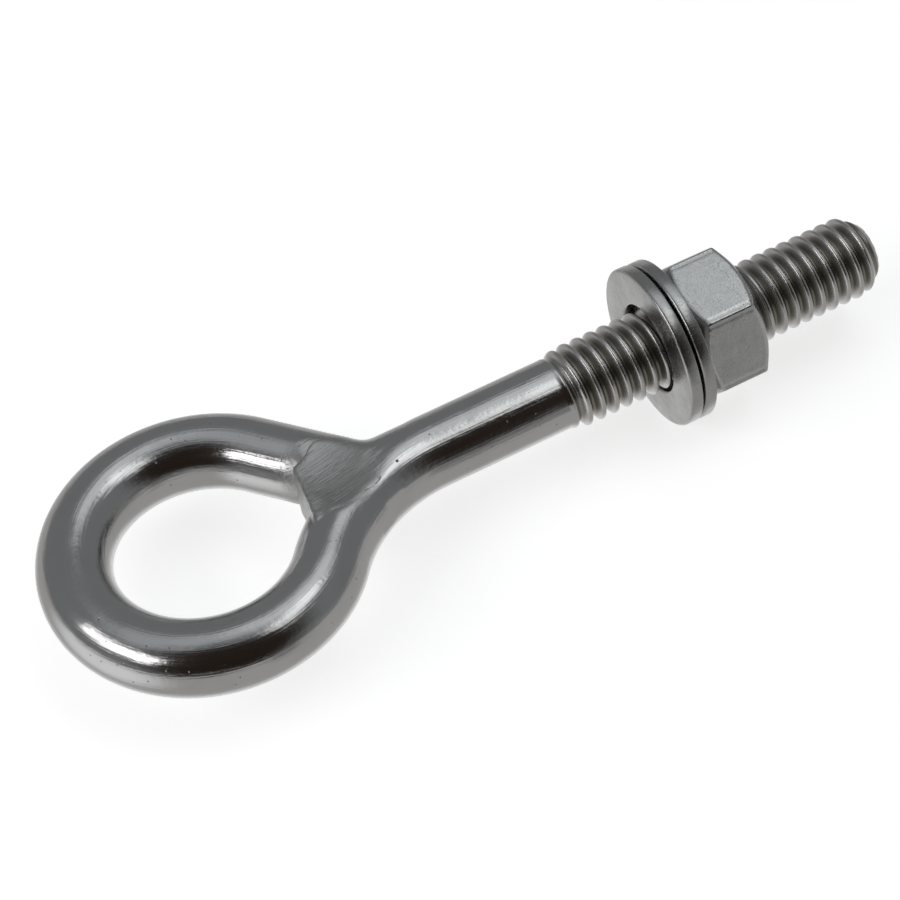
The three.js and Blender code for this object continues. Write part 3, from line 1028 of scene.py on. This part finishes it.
# %% Bore of the nut
def thread_radius(x, turn_share):
    """Radius of the rod's thread at this place along the bolt and this share of a turn."""
    phase = (x - TIP_X) / PITCH - turn_share
    off = abs((phase + 1.5 - CREST_CENTRE) % 1 - 0.5)
    fall = min(1.0, max(0.0, (off - CREST_SHARE) / (ROOT_SHARE - CREST_SHARE)))
    rounded = fall * fall * (3 - 2 * fall)
    return ROOT_RADIUS + THREAD_DEPTH * (1 - (1 - ROUNDNESS) * fall - ROUNDNESS * rounded)


def mouth(x):
    """Countersunk mouths: the bore is at least this wide near the two faces."""
    return MOUTH_RADIUS - min(x - NUT_LOW, NUT_HIGH - x) * MOUTH_SLOPE


BORE_ROWS_PER_TURN = 14
BORE_STEP = PITCH / BORE_ROWS_PER_TURN
bore_rows = math.ceil((NUT_HIGH - NUT_LOW) / BORE_STEP) + BORE_ROWS_PER_TURN + 1
bore_points = []
for angle in nut_angles + [nut_angles[0] + math.tau]:
    share = (angle - nut_angles[0]) / math.tau
    for k in range(bore_rows):
        x = NUT_LOW + (k + BORE_ROWS_PER_TURN * (share - 1)) * BORE_STEP
        x = min(NUT_HIGH, max(NUT_LOW, x))
        r = max(thread_radius(x, angle / math.tau) + NUT_CLEARANCE, mouth(x))
        bore_points.append((x, AXIS_Y + r * math.cos(angle), r * math.sin(angle)))
bore_faces = []
for c in range(len(nut_angles)):
    for k in range(bore_rows - 1):
        here = c * bore_rows + k
        there = here + bore_rows
        bore_faces.append((here, there, there + 1, here + 1))
bore_mesh = bpy.data.meshes.new("bore")
bore_mesh.from_pydata([Vector(p) * MM for p in bore_points], [], bore_faces)
print(f"bore: {len(bore_faces)} faces")

# %% [markdown]
# The outside and the bore share the circle at each mouth, so welding the points that fall on each
# other closes the nut. Remove Doubles also drops the faces that have shrunk to nothing where the
# thread runs out of the mouths.


# %% Join the nut's two skins
def welded(name, meshes, distance):
    """One closed mesh from several skins, with its faces turned outwards."""
    work = bmesh.new()
    for part in meshes:
        work.from_mesh(part)
    bmesh.ops.remove_doubles(work, verts=work.verts, dist=distance * MM)
    bmesh.ops.dissolve_degenerate(work, edges=work.edges, dist=distance * MM)
    bmesh.ops.recalc_face_normals(work, faces=work.faces)
    open_edges = sum(1 for edge in work.edges if len(edge.link_faces) != 2)
    made = bpy.data.meshes.new(name)
    work.to_mesh(made)
    work.free()
    print(f"{name}: {len(made.polygons)} faces, {open_edges} open edges")
    return made


def smoothed(mesh, degrees):
    """Smooth shading that keeps every edge sharper than this angle."""
    mesh.shade_smooth()
    mesh.set_sharp_from_angle(angle=math.radians(degrees))


nut_mesh = welded("nut_formed", [outside_mesh, bore_mesh], MERGE_DISTANCE)
nut_mesh.materials.append(NUT_STEEL)
nut_points = points_of(nut_mesh)
nut_reach = np.hypot(nut_points[:, 1] - AXIS_Y, nut_points[:, 2])
# These points of the bore get painted shade in the nut's steel.
in_bore = nut_mesh.attributes.new("bore", "FLOAT", "POINT")
in_bore.data.foreach_set("value", (nut_reach < MOUTH_RADIUS - 0.01).astype(np.float32))
smoothed(nut_mesh, 40)

# %% [markdown]
# ## Put the pieces in the frame
# Each mesh becomes an object at the origin, because its place is already in its points. Body says
# which body carries it, and node says which plain node it stands for.


# %% Pieces
def piece(name, mesh, body, node):
    """An object that rides on a body and takes the place of a node."""
    made = bpy.data.objects.new(name, mesh)
    bpy.context.scene.collection.objects.link(made)
    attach(made, body)
    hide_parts(node)
    low = points_of(mesh).min(axis=0)
    high = points_of(mesh).max(axis=0)
    print(name, "from", np.round(low, 2), "to", np.round(high, 2), "mm")


piece("bent_rod", rod_mesh, "rod", "eye_rod")
piece("ground_weld", weld_mesh, "rod", "eye_weld")
for label, mesh in (("inner_washer", inner_mesh), ("outer_washer", outer_mesh)):
    closed = welded(label, [mesh], MERGE_DISTANCE)
    closed.materials.append(WASHER_STEEL)
    smoothed(closed, 30)
    piece(label + "_punched", closed, label + "_ring", label)
piece("hex_nut_formed", nut_mesh, "nut", "hex_nut")
